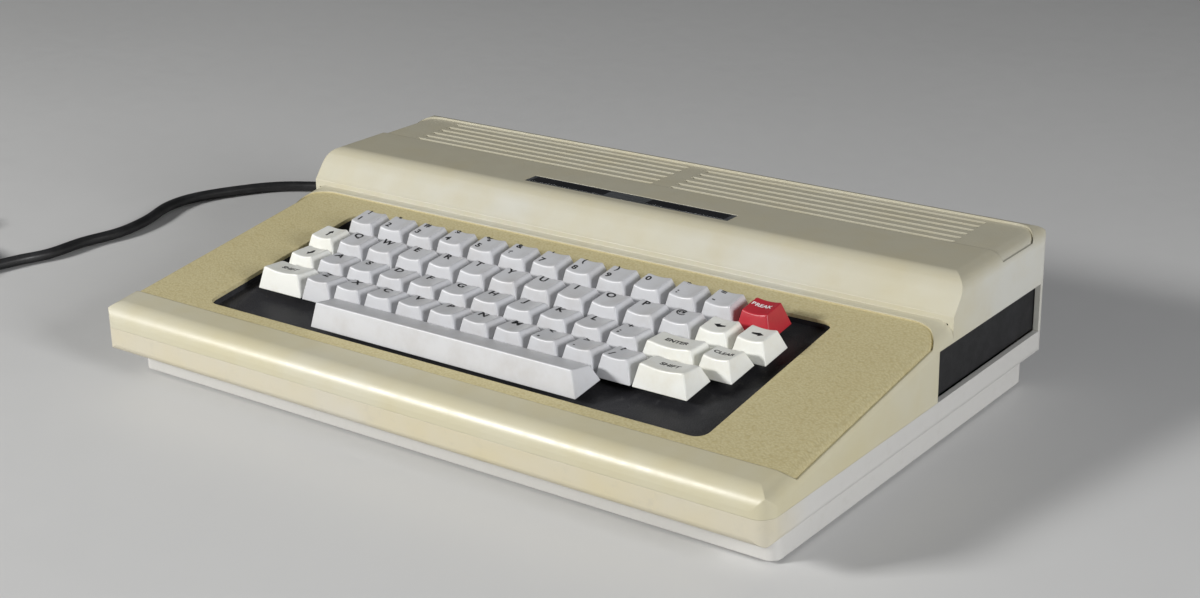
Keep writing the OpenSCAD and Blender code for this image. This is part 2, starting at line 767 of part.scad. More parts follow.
module din_socket(x) {
  difference() {
    union() {
      box(x - 9, x + 9, panel_inner - 14, panel_inner - 0.6, pcb_top, socket_z + 9);
      bar_y(x, panel_inner - 1, panel_y + 1, socket_z, din_r);
    }
    // the round cavity of the plug, and its key way
    bar_y(x, panel_y - 7, panel_y + 2, socket_z, din_r - 0.9);
    box(x - 1.2, x + 1.2, panel_y - 7, panel_y + 2, socket_z + 5, socket_z + din_r - 0.4);
  }
  // the contact block with its holes
  difference() {
    bar_y(x, panel_y - 7.5, panel_y - 1.5, socket_z, din_r - 2.2);
    for (a = [0 : 45 : 180])
      bar_y(x + 3.4 * cos(a), panel_y - 5.5, panel_y, socket_z + 3.4 * sin(a) - 1, 0.8);
  }
}

module rear_sockets() {
  color("#2b2b30") for (x = din_x) din_socket(x);
  // the edge connector of the cartridge bay
  color("#3a2a20") difference() {
    box(bay_x0, bay_x1, bay_y - bay_half, bay_y + bay_half, pcb_top, parting_z + 14);
    box(bay_x0 + 3, bay_x1 + eps, bay_y - bay_half + 3, bay_y + bay_half - 3,
      parting_z + 7.8, parting_z + 10.2);
  }
}

module modulator_can() {
  color("silver") difference() {
    union() {
      box(can_x0, can_x1, can_y0, panel_inner - 0.3, pcb_top, pcb_top + can_h);
      bar_y(jack_x, panel_inner - 1, panel_y, slider_z, jack_r + 0.4);
      bar_y(jack_x, panel_y - 1, panel_y + jack_len, slider_z, jack_r);
    }
    bar_y(jack_x, panel_y - 4, panel_y + jack_len + 1, slider_z, 1.6);
    // the slot that the slide switch runs in
    box(slider_x - 1 - slide_throw, slider_x + 1 + slide_throw, panel_inner - 5, panel_inner,
      slider_z - 1 - lay_gap, slider_z + 1 + lay_gap);
  }
}

module power_transformer() {
  x0 = -158;
  x1 = -116;
  y0 = 22;
  y1 = 74;
  color("dimgray") {
    box(x0, x1, y0, y1, floor_z + 8, floor_z + 26);
    // mounting strap with its feet on the floor
    box(x0, x1, y0 - 1.5, y0, floor_z, floor_z + 26);
    box(x0, x1, y1, y1 + 1.5, floor_z, floor_z + 26);
  }
  color("goldenrod") {
    box(x0 + 8, x1 - 8, y0 + 12, y1 - 12, floor_z + 26, floor_z + 33);
    box(x0 + 8, x1 - 8, y0 + 12, y1 - 12, floor_z + 1, floor_z + 8);
  }
}

// ================= the mains cord =================

module strain_relief() {
  neck = 5;
  color("#141416") {
    box(relief_x - neck, relief_x + neck, panel_inner - 3, panel_y + 1,
      relief_z - neck, relief_z + neck);
    box(relief_x - relief_half, relief_x + relief_half, panel_y + lay_gap / 2, panel_y + 2.2,
      relief_z - relief_half, relief_z + relief_half);
    // the tapered sleeve that keeps the cord from kinking
    translate([relief_x, panel_y + 2, relief_z]) rotate([-90, 0, 0])
      cylinder(r1 = neck + 0.5, r2 = cord_r + 0.9, h = relief_end - panel_y - 2);
  }
}

// a smooth line through the points p: the place at t from point i to the next
function bend(p, i, t) = let(
    a = p[max(i - 1, 0)], b = p[i], c = p[i + 1], d = p[min(i + 2, len(p) - 1)])
  0.5 * (2 * b + (c - a) * t + (2 * a - 5 * b + 4 * c - d) * t * t
    + (3 * b - a - 3 * c + d) * t * t * t);
function smooth_line(p, n) = concat(
  [for (i = [0 : len(p) - 2]) for (k = [0 : n - 1]) bend(p, i, k / n)], [p[len(p) - 1]]);
function heading(p, i) = unit(p[min(i + 1, len(p) - 1)] - p[max(i - 1, 0)]);
function ring_at(c, dir, r, n) = let(side = unit(cross(dir, [0, 0, 1])), up = cross(side, dir))
  [for (k = [0 : n - 1]) c + r * (side * cos(360 * k / n) + up * sin(360 * k / n))];

// a closed tube of radius r with n sides along the points p
module tube(p, r, n) {
  m = len(p);
  points = [for (i = [0 : m - 1]) each ring_at(p[i], heading(p, i), r, n)];
  faces = concat(
    [for (i = [0 : m - 2]) for (k = [0 : n - 1])
      [i * n + k, (i + 1) * n + k, (i + 1) * n + (k + 1) % n]],
    [for (i = [0 : m - 2]) for (k = [0 : n - 1])
      [i * n + k, (i + 1) * n + (k + 1) % n, i * n + (k + 1) % n]],
    [for (k = [1 : n - 2]) [0, k, k + 1]],
    [for (k = [1 : n - 2]) [(m - 1) * n, (m - 1) * n + k + 1, (m - 1) * n + k]]
  );
  polyhedron(points, faces);
}

module power_cord() {
  color("#141416") tube(smooth_line(cord_points, cord_steps), cord_r, cord_sides);
}

// the coil runs clockwise: a is the angle run so far, and climb goes from 0 to 1 in the half
// loop where the spiral turns back outward
function climb(a) = min(max((a - coil_in) / 180, 0), 1);
function coil_radius(a) = coil_in_r + lane / 360 * (
  a < coil_in ? coil_in - a : a > coil_in + 180 ? a - coil_in - 180
  : -180 * climb(a) * (1 - climb(a)));
coil_line = concat(
  [[join_x, join_y, lie_z], [join_x, coil_y + lead / 3, lie_z]],
  [for (a = [0 : 360 / loop_rings : coil_end])
    [coil_x + coil_radius(a) * cos(a), coil_y - coil_radius(a) * sin(a), lie_z + lane * climb(a)]],
  [for (t = [[tail / 3, lie_z + lane], [tail * 0.7, plug_z], [tail, plug_z]])
    [coil_x - coil_out_r, coil_y + t[0], t[1]]]
);

module cord_coil() {
  color("#141416") tube(coil_line, cord_r, coil_sides);
}
// the least clear gap between two stretches of the coil more than half a loop apart
coil_gap = min([for (i = [0 : len(coil_line) - 1])
  for (j = [i + loop_rings / 2 : 1 : len(coil_line) - 1]) norm(coil_line[i] - coil_line[j])]) - cord_d;
echo(coil_least_gap = coil_gap);

module plug() {
  body_y = 10;
  body_len = 28;
  body_half = 12;
  prong_at = 6.35;
  prong_t = 1.5;
  translate([coil_x - coil_out_r, coil_y + tail, 0]) {
    color("#141416") {
      bar_y(0, 0, body_y + 1, plug_z, 4.4);
      // the body narrows towards the cord and lies on the table
      translate([0, body_y, 0]) linear_extrude(2 * plug_z) rounded([
        [-7, 0], [7, 0], [body_half, 11], [body_half, body_len], [-body_half, body_len],
        [-body_half, 11]], [2, 2, 6, 2, 2, 6]);
    }
    color("silver") for (x = [-prong_at, prong_at])
      box(x - prong_t / 2, x + prong_t / 2, body_y + body_len - 1, body_y + body_len + 17.5,
        plug_z - 3.2, plug_z + 3.2);
  }
}

// ================= drawing =================

upper_case();
lower_case();
rubber_feet();
keyboard_frame();
keyboard_contact_board();
cartridge_door();
main_board();
board_chips();
rear_sockets();
modulator_can();
power_transformer();
power_button();
reset_button();
channel_slider();
strain_relief();
power_cord();
cord_coil();
plug();
number_row_keys();
key_break();
key_up();
key_q();
key_w();
key_e();
key_r();
key_t();
key_y();
key_u();
key_i();
key_o();
key_p();
key_at();
key_left();
key_right();
key_down();
key_a();
key_s();
key_d();
key_f();
key_g();
key_h();
key_j();
key_k();
key_l();
key_semicolon();
key_enter();
key_clear();
key_shift_left();
key_z();
key_x();
key_c();
key_v();
key_b();
key_n();
key_m();
key_comma();
key_period();
key_slash();
key_shift_right();
key_space();
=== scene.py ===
# Vintage home computer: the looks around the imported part.
# Metres, in the part's frame: X right, Y back, Z up. Names that end in _mm are in millimetres.
import json
import math

import bmesh
import bpy
from mathutils import Matrix, Vector


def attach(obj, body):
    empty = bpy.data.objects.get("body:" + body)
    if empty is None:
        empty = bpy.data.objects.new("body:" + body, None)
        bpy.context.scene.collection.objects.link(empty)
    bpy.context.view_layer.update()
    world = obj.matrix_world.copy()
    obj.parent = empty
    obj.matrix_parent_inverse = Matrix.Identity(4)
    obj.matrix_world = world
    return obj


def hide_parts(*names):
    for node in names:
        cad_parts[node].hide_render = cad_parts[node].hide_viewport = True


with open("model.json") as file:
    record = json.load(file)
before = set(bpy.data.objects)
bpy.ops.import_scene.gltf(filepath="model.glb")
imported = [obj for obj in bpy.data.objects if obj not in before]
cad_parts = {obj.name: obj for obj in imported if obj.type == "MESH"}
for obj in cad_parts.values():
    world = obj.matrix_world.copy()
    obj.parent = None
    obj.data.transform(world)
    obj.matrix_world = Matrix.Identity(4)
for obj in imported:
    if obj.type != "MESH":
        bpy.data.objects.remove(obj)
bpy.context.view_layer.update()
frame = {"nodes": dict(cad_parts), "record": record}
MM = 0.001

# ---- driving sizes, in millimetres, as in the part's source
HALF_W = 187
HALF_D = 123
CASE_H = 77.7
DECK_Y0 = -105
DECK_Z0 = 40.7
DECK_SLOPE = 8.4
DECK_LEN = 128
EDGE_R = 8
PANEL_DROP = 1
PARTING_Z = 27.3
BAND_Z = 15.5
VENT_Y0 = 74
VENT_Y1 = 114.5
PITCH = 19.05
ROWS = 5
KEY_FRONT = 10.25
KEY_FOOT = -1.2
BADGE = (120.5, 9.6, 50, 0.5)  # width, depth, middle along Y, depth of the recess


# ======================= camera =======================

def add_camera():
    data = bpy.data.cameras.new("camera")
    data.sensor_fit = "HORIZONTAL"
    data.sensor_width = 36
    data.lens = 58.9
    data.shift_x = 0.0008
    data.clip_start = 0.05
    data.clip_end = 20
    camera = bpy.data.objects.new("camera", data)
    bpy.context.scene.collection.objects.link(camera)
    right = Vector((0.80502, 0.59292, -0.01967))
    up = Vector((-0.19148, 0.29107, 0.93734))
    back = Vector((0.56149, -0.75081, 0.34785))
    axes = Matrix((right, up, back)).transposed().to_4x4()
    camera.matrix_world = Matrix.Translation((0.53164, -0.68590, 0.36229)) @ axes
    bpy.context.scene.camera = camera


# ======================= materials =======================

class Look:
    """A material being made: each call adds one node and returns its output."""

    def __init__(self, name, rough=0.5, specular=0.5):
        self.material = bpy.data.materials.new(name)
        self.material.use_nodes = True
        self.tree = self.material.node_tree
        self.shader = self.tree.nodes["Principled BSDF"]
        self.shader.inputs["Roughness"].default_value = rough
        self.shader.inputs["Specular IOR Level"].default_value = specular
        self.place = self.add("ShaderNodeTexCoord").outputs["Object"]

    def add(self, kind, **settings):
        node = self.tree.nodes.new(kind)
        for key, value in settings.items():
            setattr(node, key, value)
        return node

    def feed(self, socket, value):
        if isinstance(value, bpy.types.NodeSocket):
            self.tree.links.new(value, socket)
        elif value is not None:
            socket.default_value = value

    def math(self, operation, a, b=None, clamp=False):
        node = self.add("ShaderNodeMath", operation=operation, use_clamp=clamp)
        self.feed(node.inputs[0], a)
        self.feed(node.inputs[1], b)
        return node.outputs[0]

    def axis(self, index):
        if not hasattr(self, "split"):
            self.split = self.add("ShaderNodeSeparateXYZ")
            self.feed(self.split.inputs[0], self.place)
        return self.split.outputs[index]

    def stretch(self, scale):
        node = self.add("ShaderNodeMapping")
        self.feed(node.inputs["Vector"], self.place)
        node.inputs["Scale"].default_value = scale
        return node.outputs[0]

    def noise(self, scale, detail=4, rough=0.5, place=None):
        node = self.add("ShaderNodeTexNoise")
        self.feed(node.inputs["Vector"], place or self.place)
        node.inputs["Scale"].default_value = scale
        node.inputs["Detail"].default_value = detail
        node.inputs["Roughness"].default_value = rough
        return node.outputs["Fac"]

    def cells(self, scale, feature="F1", place=None, random_place=1):
        node = self.add("ShaderNodeTexVoronoi", feature=feature)
        self.feed(node.inputs["Vector"], place or self.place)
        node.inputs["Scale"].default_value = scale
        node.inputs["Randomness"].default_value = random_place
        return node.outputs["Distance"]

    def span(self, value, low, high, to_low=0.0, to_high=1.0, smooth=False):
        node = self.add("ShaderNodeMapRange")
        if smooth:
            node.interpolation_type = "SMOOTHSTEP"
        self.feed(node.inputs["Value"], value)
        for name, number in zip(("From Min", "From Max", "To Min", "To Max"),
                                (low, high, to_low, to_high)):
            node.inputs[name].default_value = number
        return node.outputs[0]

    def mix(self, factor, a, b):
        node = self.add("ShaderNodeMix", data_type="RGBA")
        self.feed(node.inputs["Factor"], factor)
        self.feed(node.inputs["A"], rgba(a))
        self.feed(node.inputs["B"], rgba(b))
        return node.outputs["Result"]

    def bump(self, height, distance, strength=1.0, normal=None):
        node = self.add("ShaderNodeBump")
        node.inputs["Distance"].default_value = distance
        self.feed(node.inputs["Strength"], strength)
        self.feed(node.inputs["Height"], height)
        self.feed(node.inputs["Normal"], normal)
        return node.outputs[0]

    def rounded(self, radius):
        node = self.add("ShaderNodeBevel", samples=6)
        node.inputs["Radius"].default_value = radius
        return node.outputs[0]

    def finish(self, color=None, rough=None, normal=None):
        self.feed(self.shader.inputs["Base Color"], rgba(color))
        self.feed(self.shader.inputs["Roughness"], rough)
        self.feed(self.shader.inputs["Normal"], normal)
        return self.material


def rgba(color):
    if isinstance(color, tuple):
        return (*color, 1.0) if len(color) == 3 else color
    return color


def deck_depth(look):
    """1 on the textured panels, which lie below the smooth rims, and 0 elsewhere."""
    slope = math.radians(DECK_SLOPE)
    x = look.math("ABSOLUTE", look.axis(0))
    over_x = look.math("MAXIMUM", look.math("SUBTRACT", x, (HALF_W - EDGE_R) * MM), 0)
    y = look.math("SUBTRACT", look.axis(1), DECK_Y0 * MM)
    z = look.math("SUBTRACT", look.axis(2), DECK_Z0 * MM)
    up = look.math("SUBTRACT", look.math("MULTIPLY", z, math.cos(slope)),
                   look.math("MULTIPLY", y, math.sin(slope)))
    along = look.math("ADD", look.math("MULTIPLY", y, math.cos(slope)),
                      look.math("MULTIPLY", z, math.sin(slope)))

    def below(height):
        """1 where the surface is deeper than half the drop under its outer shape."""
        over_z = look.math("MAXIMUM", look.math("ADD", height, EDGE_R * MM), 0)
        reach = look.math("SQRT", look.math("ADD", look.math("POWER", over_x, 2),
                                            look.math("POWER", over_z, 2)))
        limit = (EDGE_R - PANEL_DROP / 2) * MM
        deep = look.span(reach, limit - 0.0002, limit + 0.0002, 1, 0)
        near = look.span(height, -0.0052, -0.0048, 0, 1)
        return look.math("MULTIPLY", deep, near)

    def within(value, low, high):
        return look.math("MULTIPLY", look.math("GREATER_THAN", value, low),
                         look.math("LESS_THAN", value, high))

    deck = look.math("MULTIPLY", below(up), within(along, -0.0005, (DECK_LEN + 0.5) * MM))
    top = look.math("SUBTRACT", look.axis(2), CASE_H * MM)
    vents = look.math("MULTIPLY", below(top),
                      within(look.axis(1), (VENT_Y0 - 0.5) * MM, (VENT_Y1 + 0.5) * MM))
    return deck, vents


def case_upper():
    look = Look("case_upper", rough=0.4)
    deck, vents = deck_depth(look)
    y = look.axis(1)
    # ageing: yellow towards the front and on the deck, in soft clouds
    clouds = look.noise(14, 3, 0.6)
    patches = look.noise(55, 4, 0.65)
    forward = look.span(y, -0.02, 0.09, 1, 0, smooth=True)
    aged = look.math("ADD", look.math("MULTIPLY", forward, 0.75),
                     look.math("MULTIPLY", look.math("SUBTRACT", clouds, 0.5), 1.1), clamp=True)
    sides = look.mix(aged, (0.60, 0.595, 0.54), (0.565, 0.515, 0.335))
    # painted shade: from 70 mm up, the top surface is mixed towards a darker colour, as under
    # grazing light
    top = look.span(look.axis(2), 0.070, 0.0755, 0, 1)
    color = look.mix(look.math("MULTIPLY", top, 0.8), sides, (0.50, 0.465, 0.34))
    color = look.mix(look.math("MULTIPLY", deck, 0.85), color, (0.58, 0.51, 0.28))
    color = look.mix(look.span(patches, 0.45, 0.8, 0, 0.2), color, (0.52, 0.43, 0.23))
    # stippled grain on the panels, a much finer one elsewhere
    pebbles = look.cells(950, "SMOOTH_F1")
    fine = look.noise(1500, 2, 0.6)
    grain = look.math("ADD", pebbles, look.math("MULTIPLY", fine, 0.5))
    dirt = look.span(pebbles, 0.25, 0.75, 0.0, 0.5)
    color = look.mix(look.math("MULTIPLY", deck, dirt), color, (0.42, 0.34, 0.15))
    texture = look.math("ADD", look.math("MULTIPLY", deck, 1.0), look.math("MULTIPLY", vents, 0.35))
    strength = look.math("ADD", look.math("MULTIPLY", texture, 0.55), 0.04, clamp=True)
    rough = look.math("ADD", look.math("MULTIPLY", texture, 0.22),
                      look.span(look.noise(90, 4, 0.6), 0.3, 0.7, 0.30, 0.42), clamp=True)
    normal = look.bump(grain, 0.00022, strength, look.rounded(0.0005))
    return look.finish(color, rough, normal)


def case_lower():
    look = Look("case_lower", rough=0.42)
    front = look.span(look.axis(1), -0.119, -0.09, 1, 0, smooth=True)
    band = look.span(look.axis(2), 0.0152, 0.0158, 0, 1)
    clouds = look.noise(20, 3, 0.6)
    aged = look.math("MULTIPLY", look.math("MULTIPLY", front, band),
                     look.span(clouds, 0.25, 0.7, 0.35, 1))
    color = look.mix(aged, (0.58, 0.57, 0.545), (0.60, 0.535, 0.36))
    soil = look.span(look.noise(160, 5, 0.7), 0.55, 0.8, 0, 0.3)
    color = look.mix(soil, color, (0.44, 0.42, 0.37))
    rough = look.span(look.noise(110, 4, 0.6), 0.3, 0.7, 0.36, 0.5)
    normal = look.bump(look.noise(1500, 2, 0.6), 0.00012, 0.12, look.rounded(0.0005))
    return look.finish(color, rough, normal)


def moulded(name, color, worn, rough, grain=900, depth=0.0001, strength=0.25, edge=0.0003):
    """A moulded plastic or rubber with a fine grain, slight soiling and soft edges."""
    look = Look(name, rough)
    soil = look.span(look.noise(70, 5, 0.65), 0.45, 0.8, 0, 1)
    shade = look.mix(soil, color, worn)
    gloss = look.span(look.noise(130, 4, 0.6), 0.3, 0.7, rough - 0.06, rough + 0.08)
    normal = look.bump(look.noise(grain, 3, 0.6), depth, strength, look.rounded(edge))
    return look.finish(shade, gloss, normal)


def charcoal_plate():
    look = Look("keyboard_plate", 0.6)
    dust = look.span(look.noise(240, 6, 0.75), 0.52, 0.75, 0, 0.5)
    smear = look.span(look.noise(35, 3, 0.6), 0.4, 0.8, 0, 0.35)
    color = look.mix(dust, (0.020, 0.020, 0.023), (0.085, 0.083, 0.085))
    color = look.mix(smear, color, (0.045, 0.045, 0.05))
    normal = look.bump(look.cells(1300), 0.0002, 0.5, look.rounded(0.0004))
    return look.finish(color, look.span(dust, 0, 0.5, 0.5, 0.72), normal)


def metal(name, color, rough, streaks=(40, 900, 900)):
    look = Look(name, rough)
    look.shader.inputs["Metallic"].default_value = 1.0
    lines = look.noise(1.0, 3, 0.6, look.stretch(streaks))
    stain = look.span(look.noise(90, 5, 0.7), 0.45, 0.8, 0, 0.5)
    shade = look.mix(stain, color, tuple(c * 0.55 for c in color))
    gloss = look.span(lines, 0.3, 0.7, rough - 0.08, rough + 0.1)
    return look.finish(shade, gloss, look.bump(lines, 0.00005, 0.2, look.rounded(0.0002)))


def board_green():
    look = Look("circuit_board", 0.35)
    lines = look.cells(420, place=look.stretch((1, 0.35, 1)), random_place=0.15)
    tracks = look.span(lines, 0.28, 0.34, 1, 0)
    color = look.mix(tracks, (0.015, 0.10, 0.035), (0.03, 0.17, 0.06))
    pads = look.span(look.cells(390, random_place=0), 0.16, 0.2, 1, 0)
    color = look.mix(look.math("MULTIPLY", pads, 0.7), color, (0.45, 0.42, 0.36))
    normal = look.bump(tracks, 0.00005, 0.4)
    return look.finish(color, look.span(pads, 0, 1, 0.4, 0.25), normal)


def floor_look():
    look = Look("floor", 0.55, 0.3)
    color = look.mix(look.noise(3, 3, 0.5), (0.66, 0.66, 0.655), (0.72, 0.72, 0.715))
    return look.finish(color, look.span(look.noise(60, 4, 0.6), 0.3, 0.7, 0.5, 0.62), None)


def ink(name, color, rough=0.45):
    look = Look(name, rough)
    worn = look.span(look.noise(1400, 4, 0.7), 0.66, 0.85, 0, 0.1)
    shade = look.mix(worn, color, tuple(0.5 * c + 0.18 for c in color))
    return look.finish(shade, None, None)


looks = {}


def make_looks():
    looks.update({
        "case_upper": case_upper(),
        "case_lower": case_lower(),
        "rubber": moulded("rubber", (0.03, 0.03, 0.03), (0.07, 0.065, 0.06), 0.7),
        "keyboard_plate": charcoal_plate(),
        "door_black": moulded("door_black", (0.008, 0.008, 0.009), (0.018, 0.018, 0.02), 0.6,
                              1200, 0.0002, 0.5),
        "board_metal": metal("board_metal", (0.62, 0.62, 0.6), 0.4),
        "circuit_board": board_green(),
        "chip_black": moulded("chip_black", (0.02, 0.02, 0.02), (0.05, 0.05, 0.05), 0.45),
        "socket_black": moulded("socket_black", (0.022, 0.022, 0.025), (0.05, 0.05, 0.05), 0.4),
        "tin_plate": metal("tin_plate", (0.68, 0.67, 0.64), 0.35),
        "transformer_steel": moulded("transformer_steel", (0.10, 0.10, 0.11),
                                     (0.2, 0.14, 0.08), 0.4),
        "button_black": moulded("button_black", (0.025, 0.025, 0.028), (0.06, 0.06, 0.06), 0.4),
        "cord_black": moulded("cord_black", (0.014, 0.014, 0.015), (0.04, 0.04, 0.042), 0.42,
                              600, 0.00015, 0.2),
        "key_grey": moulded("key_grey", (0.62, 0.625, 0.645), (0.55, 0.54, 0.54), 0.34,
                            1100, 0.00006, 0.25),
        "key_ivory": moulded("key_ivory", (0.84, 0.845, 0.80), (0.76, 0.74, 0.65), 0.34,
                             1100, 0.00006, 0.25),
        "key_red": moulded("key_red", (0.50, 0.025, 0.04), (0.40, 0.03, 0.04), 0.36,
                           1100, 0.00006, 0.25),
        "ink_black": ink("ink_black", (0.012, 0.012, 0.014)),
        "ink_white": ink("ink_white", (0.85, 0.85, 0.84)),
        "badge_silver": metal("badge_silver", (0.66, 0.68, 0.70), 0.3),
        "badge_black": moulded("badge_black", (0.006, 0.006, 0.008), (0.02, 0.02, 0.022), 0.25),
        "brass": metal("brass", (0.75, 0.58, 0.28), 0.3),
        "floor": floor_look(),
    })


def dress_cad_nodes():
    """Every carried-over CAD node gets its procedural material."""
    slots = {row["node"]: row["material_slot"] for row in frame["record"]["subparts"]}
    for name, node in frame["nodes"].items():
        material = looks[slots[name]]
        if not node.material_slots:
            node.data.materials.append(material)
        for place in node.material_slots:
            place.material = material


# ======================= mesh helpers =======================

def deck_matrix():
    """From deck coordinates in millimetres to the part's frame in metres."""
    return (Matrix.Translation((0, DECK_Y0 * MM, DECK_Z0 * MM))
            @ Matrix.Rotation(math.radians(DECK_SLOPE), 4, "X") @ Matrix.Scale(MM, 4))


def add_piece(name, mesh, material, body):
    mesh.materials.clear()
    mesh.materials.append(looks[material])
    piece = bpy.data.objects.new(name, mesh)
    bpy.context.scene.collection.objects.link(piece)
    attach(piece, body)
    return piece


def smooth(piece, angle=35):
    mesh = piece.data
    mesh.shade_smooth()
    mesh.set_sharp_from_angle(angle=math.radians(angle))
    normals = piece.modifiers.new("even_normals", "WEIGHTED_NORMAL")
    normals.keep_sharp = True
    return piece


def ring_rect(x0, x1, y0, y1, r, corner=5, along_x=10, along_y=4):
    """A rounded rectangle as points, anticlockwise from the middle of the front right corner."""
    points = []
    corners = [(x1 - r, y0 + r, -90), (x1 - r, y1 - r, 0),
               (x0 + r, y1 - r, 90), (x0 + r, y0 + r, 180)]
    for i, (cx, cy, start) in enumerate(corners):
        for k in range(corner + 1):
            a = math.radians(start + 90 * k / corner)
            points.append((cx + r * math.cos(a), cy + r * math.sin(a)))
        nx, ny, nstart = corners[(i + 1) % 4]
        a = math.radians(start + 90)
        first = points[-1]
        last = (nx + r * math.cos(a), ny + r * math.sin(a))
        count = along_y if i % 2 == 0 else along_x
        for k in range(1, count):
            t = k / count
            points.append((first[0] + (last[0] - first[0]) * t,
                           first[1] + (last[1] - first[1]) * t))
    return points


def skin(mesh_builder, rings, cap_last=True, cap_first=False):
    """Quads between rings of equally many points."""
    rows = [[mesh_builder.verts.new(p) for p in ring] for ring in rings]
    count = len(rows[0])
    for low, high in zip(rows, rows[1:]):
        for k in range(count):
            mesh_builder.faces.new((low[k], low[(k + 1) % count], high[(k + 1) % count], high[k]))
    if cap_last:
        mesh_builder.faces.new(rows[-1])
    if cap_first:
        mesh_builder.faces.new(list(reversed(rows[0])))
    return rows


# ======================= keys =======================

CAP_GAP = 0.9
CAP_SIDE_IN = 3.2
CAP_FRONT_IN = 3.7
CAP_BACK_IN = 3.0
CAP_WALL = 1.3
CAP_EDGE = 0.7
DISH_R = 21
DISH_DEEP = 0.9
FRONT_H = (10.9, 9.6, 9.4, 10.4, 11.7)
BACK_H = (11.1, 9.1, 7.6, 7.9, 7.9)
PLUNGER = 5.6
STEM_LOW = -14.0


class Cap:
    """One key cap: its place and the shape of its top, in millimetres on the deck."""

    def __init__(self, row, start, width=1, dished=True):
        self.width = width
        self.dished = dished
        self.mid_x = (start + width / 2 - 7) * PITCH
        self.mid_y = KEY_FRONT + (ROWS - row + 0.5) * PITCH
        self.foot_x = width * PITCH / 2 - CAP_GAP / 2
        self.top_x = width * PITCH / 2 - CAP_SIDE_IN
        self.foot_y = PITCH / 2 - CAP_GAP / 2
        self.top_y0 = -PITCH / 2 + CAP_FRONT_IN
        self.top_y1 = PITCH / 2 - CAP_BACK_IN
        self.front_h = FRONT_H[row - 1]
        self.back_h = BACK_H[row - 1]
        self.tilt = (self.back_h - self.front_h) / (self.top_y1 - self.top_y0)
        self.radius = DISH_R * width * width

    def plane(self, y):
        return self.front_h + (y - self.top_y0) * self.tilt

    def top(self, x, y):
        dish = 0
        if self.dished and abs(x) < self.radius:
            dish = max(0, DISH_DEEP - self.radius + math.sqrt(self.radius ** 2 - x * x))
        return self.plane(y) - dish

    def wall_point(self, foot, rim, t):
        return (foot[0] + (rim[0] - foot[0]) * t, foot[1] + (rim[1] - foot[1]) * t)

    def crest(self, foot, rim):
        """Share of the wall's height at which it meets the dished top."""
        height = self.plane(rim[1])
        t = 1.0
        for _ in range(4):
            x, y = self.wall_point(foot, rim, t)
            t = self.top(x, y) / height
        return t, height

    def mesh(self, name):
        steps_x = max(10, round(10 * self.width))
        foot = ring_rect(-self.foot_x, self.foot_x, -self.foot_y, self.foot_y, 0.5, along_x=steps_x)
        rim = ring_rect(-self.top_x, self.top_x, self.top_y0, self.top_y1, 0.9, along_x=steps_x)
        crest = [self.crest(f, r) for f, r in zip(foot, rim)]
        inner_y = (self.top_y0 + self.top_y1) / 2
        rings = []
        # the inside of the skirt, from under the top down to the foot
        for t, shrink in ((0.8, CAP_WALL), (0.0, CAP_WALL)):
            ring = []
            for f, r, (_, height) in zip(foot, rim, crest):
                x, y = self.wall_point(f, r, t)
                keep_x = 1 - shrink / self.foot_x
                keep_y = 1 - shrink / self.foot_y
                ring.append((x * keep_x, y * keep_y, t * height))
            rings.append(ring)
        # the four walls
        for share in (0.0, 0.02, 0.5):
            ring = []
            for f, r, (t, height) in zip(foot, rim, crest):
                x, y = self.wall_point(f, r, t * share)
                ring.append((x, y, t * share * height))
            rings.append(ring)
        # the rounded rim between the walls and the top
        for s in (0, 0.25, 0.5, 0.75, 1):
            ring = []
            for f, r, (t, height) in zip(foot, rim, crest):
                low = self.wall_point(f, r, t - CAP_EDGE / height)
                edge = self.wall_point(f, r, t)
                span_x, span_y = -edge[0], inner_y - edge[1]
                side = abs(edge[0]) > self.top_x - 1
                ends = edge[1] < self.top_y0 + 1 or edge[1] > self.top_y1 - 1
                step_x = math.copysign(CAP_EDGE, span_x) if side else 0
                step_y = math.copysign(CAP_EDGE, span_y) if ends else 0
                flat = (edge[0] + step_x, edge[1] + step_y)
                a = (low[0], low[1], (t - CAP_EDGE / height) * height)
                b = (edge[0], edge[1], self.top(*edge))
                c = (flat[0], flat[1], self.top(*flat))
                ring.append(tuple((1 - s) ** 2 * a[i] + 2 * s * (1 - s) * b[i] + s * s * c[i]
                                  for i in range(3)))
            rings.append(ring)
        last = rings[-1]
        for u in (0.12, 0.3, 0.5, 0.7, 0.86, 0.97):
            ring = []
            for x, y, _ in last:
                px = x * (1 - u)
                py = y + (inner_y - y) * u
                ring.append((px, py, self.top(px, py)))
            rings.append(ring)
        made = bmesh.new()
        skin(made, rings, cap_last=True, cap_first=True)
        for at in (-3 * PITCH, 0, 3 * PITCH) if self.width > 4 else (0,):
            self.add_stem(made, at)
        made.transform(deck_matrix() @ Matrix.Translation((self.mid_x, self.mid_y, KEY_FOOT)))
        mesh = bpy.data.meshes.new(name)
        made.to_mesh(mesh)
        made.free()
        return mesh

    def add_stem(self, made, at):
        half = PLUNGER / 2
        top = (self.front_h + self.back_h) / 2 - 3
        ring = ring_rect(at - half, at + half, -half, half, 0.4, corner=2, along_x=1, along_y=1)
        skin(made, [[(x, y, z) for x, y in ring] for z in (STEM_LOW, top)], True, True)


def legend_mesh(name, cap, text, size, at, bold=0.035):
    """Letters laid on the top of a cap, following its dish."""
    curve = bpy.data.curves.new(name, "FONT")
    curve.body = text
    curve.size = size
    curve.offset = bold * size
    curve.align_x = "CENTER"
    curve.align_y = "CENTER"
    holder = bpy.data.objects.new(name + "_text", curve)
    bpy.context.scene.collection.objects.link(holder)
    depsgraph = bpy.context.evaluated_depsgraph_get()
    flat = bpy.data.meshes.new_from_object(holder.evaluated_get(depsgraph))
    bpy.data.objects.remove(holder)
    return lay_on_cap(name, cap, flat, at)


